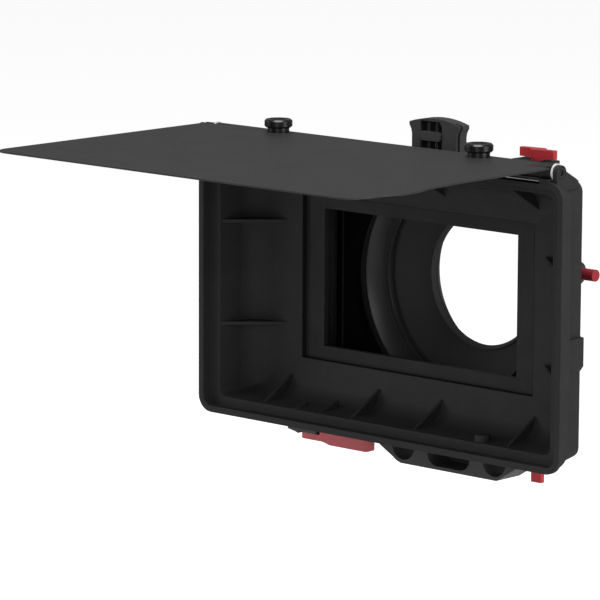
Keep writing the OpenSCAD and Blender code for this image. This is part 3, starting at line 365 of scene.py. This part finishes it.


# Finishes: two tones as sRGB shares, then roughness and gloss, or roughness and metallic share
# The pocket walls round the mask carry painted shade, darker and duller than the rest of the hood
HOOD = plastic("hood_moulded_black", (0.182, 0.182, 0.183), (0.198, 0.198, 0.199), 0.62, 0.14,
               shade_paint=(0.14, 0.14, 0.14), half=POCKET_SHADE_HALF, rear=POCKET_SHADE_REAR)
FLAG = plastic("flag_moulded_black", (0.168, 0.168, 0.168), (0.19, 0.19, 0.19), 0.46, 0.32)
STAGE = plastic("stage_moulded_black", (0.15, 0.15, 0.155), (0.175, 0.175, 0.18), 0.58, 0.18)
HANDLE = plastic("handle_moulded_black", (0.24, 0.24, 0.24), (0.27, 0.27, 0.27), 0.5, 0.22)
BRACKET = plastic("bracket_moulded_black", (0.265, 0.265, 0.265), (0.295, 0.295, 0.295), 0.5, 0.25)
BLACK_METAL = metal("black_anodised", (0.185, 0.185, 0.187), (0.21, 0.21, 0.212), 0.38, 0.0, gloss=0.4)
CONE = metal("cone_matt_black", (0.206, 0.206, 0.207), (0.228, 0.228, 0.229), 0.55, 0.0, gloss=0.12)
STOP_METAL = metal("stop_lip_satin", (0.25, 0.25, 0.252), (0.29, 0.29, 0.292), 0.45, 0.0, gloss=0.3)
COVE = plastic("cove_moulded_black", (0.182, 0.182, 0.183), (0.198, 0.198, 0.199), 0.62, 0.14,
               edge=0.00002, wear=0.0)
KNOB_METAL = metal("knob_black_satin", (0.06, 0.06, 0.061), (0.09, 0.09, 0.091), 0.24, 0.0, gloss=0.5)
# Painted shade: the rear plate is near black in front of the stage's rear, within the light path
STAGE_PAINTED_SHADE = plastic("stage_inside_painted_shade", (0.15, 0.15, 0.155), (0.175, 0.175, 0.18), 0.58, 0.18,
                  shade_paint=(0.04, 0.04, 0.04))
SCREWS = metal("screw_black_oxide", (0.1, 0.1, 0.105), (0.16, 0.16, 0.165), 0.38, 0.0, gloss=0.5)
RED = metal("red_anodised", (0.76, 0.21, 0.24), (0.84, 0.25, 0.28), 0.34, 0.2, gloss=0.4)
# The lever's paler, pinker red holds a painted sheen: its satin shine is laid into the colour
LEVER_RED_SHEEN = metal("red_anodised_lever_painted_sheen", (0.73, 0.33, 0.35), (0.80, 0.38, 0.40), 0.34, 0.1, gloss=0.5)
PIN_RED = metal("red_anodised_pin", (0.64, 0.19, 0.22), (0.70, 0.22, 0.25), 0.34, 0.2, gloss=0.4)
STEEL = metal("steel_ground", (0.62, 0.62, 0.63), (0.72, 0.72, 0.73), 0.25, 1.0)
BRASS = metal("brass_pad", (0.66, 0.5, 0.26), (0.74, 0.58, 0.32), 0.32, 1.0)
FELT = plastic("seal_felt", (0.13, 0.13, 0.13), (0.16, 0.16, 0.16), 0.8, 0.05, wear=0.0)
WHITE = plastic("white_washer_plastic", (0.88, 0.88, 0.87), (0.93, 0.93, 0.92), 0.45, 0.4,
                depth=0.00002, wear=0.0)

FINISHES = {
    "hood": HOOD, "lock_housing": HOOD,
    "mask_insert": STAGE, "stage_front_plate": STAGE, "tray_guide_left": STAGE, "tray_guide_right": STAGE,
    "stage_floor": STAGE, "stage_rear_plate": STAGE_PAINTED_SHADE, "rod_bracket": BRACKET,
    "adapter_ring": BLACK_METAL, "lens_cone": CONE, "lens_clamp_ring": BLACK_METAL,
    "hinge_bar": HOOD, "top_flag": FLAG, "hinge_wire": STEEL,
    "pivot_screw": SCREWS, "tension_knob": SCREWS, "hinge_washers": WHITE,
    "pin_bush": BLACK_METAL, "pin_spring": STEEL,
    "stage_screws": SCREWS, "bracket_screws": SCREWS, "adapter_screws": STEEL, "cone_screws": SCREWS,
    "clamp_ring_screws": SCREWS, "handle_screws": SCREWS, "lever_screw": SCREWS,
    "flag_knob_left": KNOB_METAL, "flag_knob_right": KNOB_METAL,
    "tray_frame": STAGE, "handle_front": HANDLE, "handle_back": HANDLE, "tray_latch": HANDLE,
    "latch_spring": STEEL, "lock_wing": RED, "pull_pin": PIN_RED, "release_lever": LEVER_RED_SHEEN,
    "rod_clamp_screw": RED, "clamp_shoe": BRASS, "lens_clamp_screw": KNOB_METAL,
}

for name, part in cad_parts.items():
    part.data.materials.clear()
    part.data.materials.append(FINISHES[name])


# Surfaces on a grid of two parameters

def surface(name, points, material, wrap_u=False, wrap_v=False, caps=False):
    """Mesh of an (n, m, 3) grid of points in millimetres; wrapped sides join, and caps close its end rows."""
    n, m = points.shape[:2]
    rows = np.arange(n if wrap_u else n - 1)
    cols = np.arange(m if wrap_v else m - 1)
    i, j = np.meshgrid(rows, cols, indexing="ij")
    i1, j1 = (i + 1) % n, (j + 1) % m
    quads = np.stack([i * m + j, i * m + j1, i1 * m + j1, i1 * m + j], -1).reshape(-1, 4)
    verts = points.reshape(-1, 3)
    faces = quads.tolist()
    if caps:
        ends = np.stack([points[0].mean(0), points[-1].mean(0)])
        first, last = len(verts), len(verts) + 1
        verts = np.vstack([verts, ends])
        k = np.arange(m)
        k1 = (k + 1) % m
        faces += np.stack([np.full(m, first), k1, k], -1).tolist()
        faces += np.stack([np.full(m, last), (n - 1) * m + k, (n - 1) * m + k1], -1).tolist()
    mesh = bpy.data.meshes.new(name)
    mesh.from_pydata((verts * MM).tolist(), [], faces)
    mesh.polygons.foreach_set("use_smooth", np.ones(len(mesh.polygons), bool))
    mesh.materials.append(material)
    mesh.validate()
    mesh.update()
    mesh.set_sharp_from_angle(angle=FOLD_ANGLE)
    piece = bpy.data.objects.new(name, mesh)
    bpy.context.scene.collection.objects.link(piece)
    return piece


def tube(name, path, radius, material):
    """Round tube: at each point of the path, a circle in the plane square to the path's own direction."""
    along = np.gradient(path, axis=0)
    along /= np.linalg.norm(along, axis=1, keepdims=True)
    no_tangent = np.array([0.3, 0.2, 0.93])        # a direction that no spring's wire takes
    side = np.cross(along, no_tangent)
    side /= np.linalg.norm(side, axis=1, keepdims=True)
    other = np.cross(along, side)
    turn = np.linspace(0, 2 * np.pi, TUBE_SIDES, endpoint=False)
    ring = side[:, None] * np.cos(turn)[None, :, None] + other[:, None] * np.sin(turn)[None, :, None]
    return surface(name, path[:, None] + radius * ring, material, wrap_v=True, caps=True)


def coil(name, start, axis, radius, wire, turns, length, material):
    """Compression spring: a helix of even pitch about the axis, with its two end turns laid nearly flat."""
    flat, lean = 0.6, 0.25        # the end turn's flat share, and its lean in wire radii
    t = np.linspace(0, 1, int(turns * TURN_POINTS))
    angle = 2 * np.pi * turns * t
    first = np.clip(t * turns, 0, flat) / flat
    last = np.clip(t * turns - turns + flat, 0, flat) / flat
    climb = np.clip((t * turns - flat) / (turns - 2 * flat), 0, 1)
    rise = length * climb * (1 - 2 * wire / length) + wire + lean * wire * (first - 1 + last)
    local = np.stack([radius * np.cos(angle), radius * np.sin(angle), rise], -1)
    order = {"x": (2, 0, 1), "z": (0, 1, 2)}[axis]
    return tube(name, np.asarray(start, float) + local[:, order], wire, material)


# Springs
pin_coil = coil("pull_pin_spring_coil", (80.05, PIN_Y, PIN_Z), "x",
                radius=1.92, wire=0.26, turns=6, length=6.3, material=STEEL)
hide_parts("pin_spring")
latch_coil = coil("latch_spring_coil", (LATCH_X, LATCH_Y, 69.1), "z",
                  radius=0.72, wire=0.16, turns=5, length=5.1, material=STEEL)
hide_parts("latch_spring")
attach(pin_coil, "box")
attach(latch_coil, "tray")
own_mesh(pin_coil)
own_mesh(latch_coil)


# Turned rings, cove and felt strips

def turned(name, section, material):
    """Ring about the optical axis: a closed section of (radius, station) points at each angle of turn."""
    turn = np.linspace(0, 2 * np.pi, RING_SIDES, endpoint=False)[:, None]
    radius, station = np.asarray(section, float).T
    grid = np.stack([radius * np.cos(turn), MASK_STATION + station + 0 * turn, radius * np.sin(turn)], -1)
    ring = surface(name, grid, material, wrap_u=True, wrap_v=True)
    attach(ring, "box")


def wire_section(radius, station, wire):
    """Round section of a ring: its radius and station at each angle of bend round the wire."""
    bend = np.linspace(0, 2 * np.pi, WIRE_SIDES, endpoint=False)
    return np.stack([radius + wire * np.cos(bend), station + wire * np.sin(bend)], -1)


def cavity_cove(name, material):
    """Cove between the cavity's walls and its slanted back: at each share s, the curve that weighs
    a rectangle on the walls by (1 - s)^2, the corner rectangle by 2 s (1 - s) and one on the back by s^2.
    The hidden side of the ring goes just behind the corner, inside the hood."""
    ahead = COVE_AHEAD / (CAVITY_BACK - CAVITY_FRONT)
    wall = [b + (m - b) * ahead + COVE_SUNK for m, b in zip(CAVITY_MOUTH, CAVITY_REAR)]
    slope = [b + (k - b) * COVE_INWARD for b, k in zip(CAVITY_REAR, POCKET_EDGE)]
    outer = [b + COVE_BEHIND for b in CAVITY_REAR]

    def frame_at(sides, station):
        half, up, down = sides
        return np.array([[-half, station, -down], [half, station, -down],
                         [half, station, up], [-half, station, up]])

    on_wall = frame_at(wall, CAVITY_BACK - COVE_AHEAD)
    corner = frame_at(CAVITY_REAR, CAVITY_BACK)
    on_back = frame_at(slope, CAVITY_BACK + FUNNEL_DEPTH * COVE_INWARD + COVE_SUNK)
    behind = frame_at(outer, CAVITY_BACK + COVE_BEHIND)
    s = np.linspace(0, 1, COVE_ROWS)[:, None, None]
    seen = (1 - s) ** 2 * on_wall + 2 * s * (1 - s) * corner + s ** 2 * on_back
    section = np.concatenate([seen, behind[None]])
    share = np.linspace(0, 1, COVE_POINTS, endpoint=False)[None, :, None]
    sides = [section[:, [k]] * (1 - share) + section[:, [(k + 1) % 4]] * share for k in range(4)]
    grid = np.concatenate(sides, 1) + np.array([0, MASK_STATION, 0])
    cove = surface(name, grid, material, wrap_u=True, wrap_v=True)
    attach(cove, "box")


cavity_cove("cavity_cove", COVE)

turned("adapter_snap_ring", wire_section(SNAP_RADIUS, SNAP_STATION, SNAP_WIRE), KNOB_METAL)
turned("lens_clamp_lip", wire_section(LIP_RADIUS, LIP_STATION, LIP_WIRE), BLACK_METAL)
turned("lens_stop_lip", [(STOP_MOUTH, STOP_FRONT), (STOP_MOUTH + STOP_RIM, STOP_FRONT + STOP_BEVEL),
                         (STOP_MOUTH + STOP_FOOT, STOP_REAR), (STOP_BORE, STOP_REAR)], STOP_METAL)


def strip(name, x, half_wide, low, high, station, thick, material):
    """Felt strip on the rear plate: its face stands out by thick (1 - w^4) at share w of its half width."""
    across = np.linspace(-1, 1, SEAL_POINTS)
    up = np.repeat(np.linspace(low, high, SEAL_ROWS)[:, None], SEAL_POINTS, 1)
    level = 0 * up
    face = station - thick * (1 - across ** 4)
    front = np.stack([level + (x + half_wide * across), level + face, up], -1)
    back = np.stack([level + (x + half_wide * across[::-1]), level + (station + SEAL_SUNK), up], -1)
    return surface(name, np.concatenate([front, back], 1), material, wrap_v=True, caps=True)


for side, name in ((-1, "light_seal_strip_left"), (1, "light_seal_strip_right")):
    seal = strip(name, side * SEAL_X, SEAL_HALF, SEAL_LOW, SEAL_HIGH,
                 MASK_STATION + SEAL_STATION, SEAL_THICK, FELT)
    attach(seal, "box")


# Floor, sky and lamps: places, sizes and the floor's drop in metres, and the power of a lamp in watts.
# The floor's radius is in millimetres, as surface() takes it.
FLOOR_DROP = 0.26
FLOOR_RADIUS = 30000
FLOOR_RINGS = 24
FLOOR_SIDES = 48
FLOOR_GLOW = 0.8
SKY_LIGHT = 0.2
HEART = (0.0, -0.08, 0.0)
LAMPS = {
    "softbox_top": ((0.0, -0.2, 1.8), 1.0, 23.0),
    "softbox_right": ((1.9, 0.2, 0.4), 1.0, 20.0),
    "softbox_front_left": ((-1.6, -1.2, 0.6), 1.0, 9.0),
    "softbox_front_right": ((1.0, -1.8, 0.6), 1.0, 10.0),
}


def pale_floor():
    """Flat disc far wider than the view: rings of growing radius about the object."""
    radius = np.geomspace(1, FLOOR_RADIUS, FLOOR_RINGS)[:, None]
    turn = np.linspace(0, 2 * np.pi, FLOOR_SIDES, endpoint=False)
    low = (cad_box[0].z - FLOOR_DROP) / MM
    flat = np.full((FLOOR_RINGS, FLOOR_SIDES), low)
    grid = np.stack([radius * np.cos(turn), radius * np.sin(turn), flat], -1)
    material, tree, shader = start_material("pale_floor")
    shader.inputs["Base Color"].default_value = written((0.86, 0.86, 0.86))
    shader.inputs["Roughness"].default_value = 0.9
    shader.inputs["Specular IOR Level"].default_value = 0.0
    path = node(tree, "ShaderNodeLightPath")
    glow = node(tree, "ShaderNodeMath", set_operation="MULTIPLY", i0=(path, "Is Camera Ray"), i1=FLOOR_GLOW)
    shader.inputs["Emission Color"].default_value = (1, 1, 1, 1)
    tree.links.new(glow.outputs["Value"], shader.inputs["Emission Strength"])
    floor = surface("floor", grid, material, wrap_v=True)


def pale_sky():
    """Even soft light from all round: white to the camera, and far dimmer in what the object takes."""
    world = bpy.data.worlds.new("pale_sky")
    world.use_nodes = True
    tree = world.node_tree
    path = node(tree, "ShaderNodeLightPath")
    strength = node(tree, "ShaderNodeMix", Factor=(path, "Is Camera Ray"), i2=SKY_LIGHT, i3=1.0)
    sky = tree.nodes["Background"]
    sky.inputs["Color"].default_value = (1, 1, 1, 1)
    tree.links.new(strength.outputs["Result"], sky.inputs["Strength"])
    bpy.context.scene.world = world


def softbox(name, place, size, watts):
    """Square studio lamp at a place in metres, turned to the middle of the object."""
    data = bpy.data.lights.new(name, "AREA")
    data.shape, data.size, data.energy = "SQUARE", size, watts
    lamp = bpy.data.objects.new(name, data)
    aim = (Vector(HEART) - Vector(place)).to_track_quat("-Z", "Y")
    lamp.matrix_world = Matrix.Translation(place) @ aim.to_matrix().to_4x4()
    bpy.context.scene.collection.objects.link(lamp)


photo_camera()
pale_floor()
pale_sky()
for name, (place, size, watts) in LAMPS.items():
    softbox(name, place, size, watts)
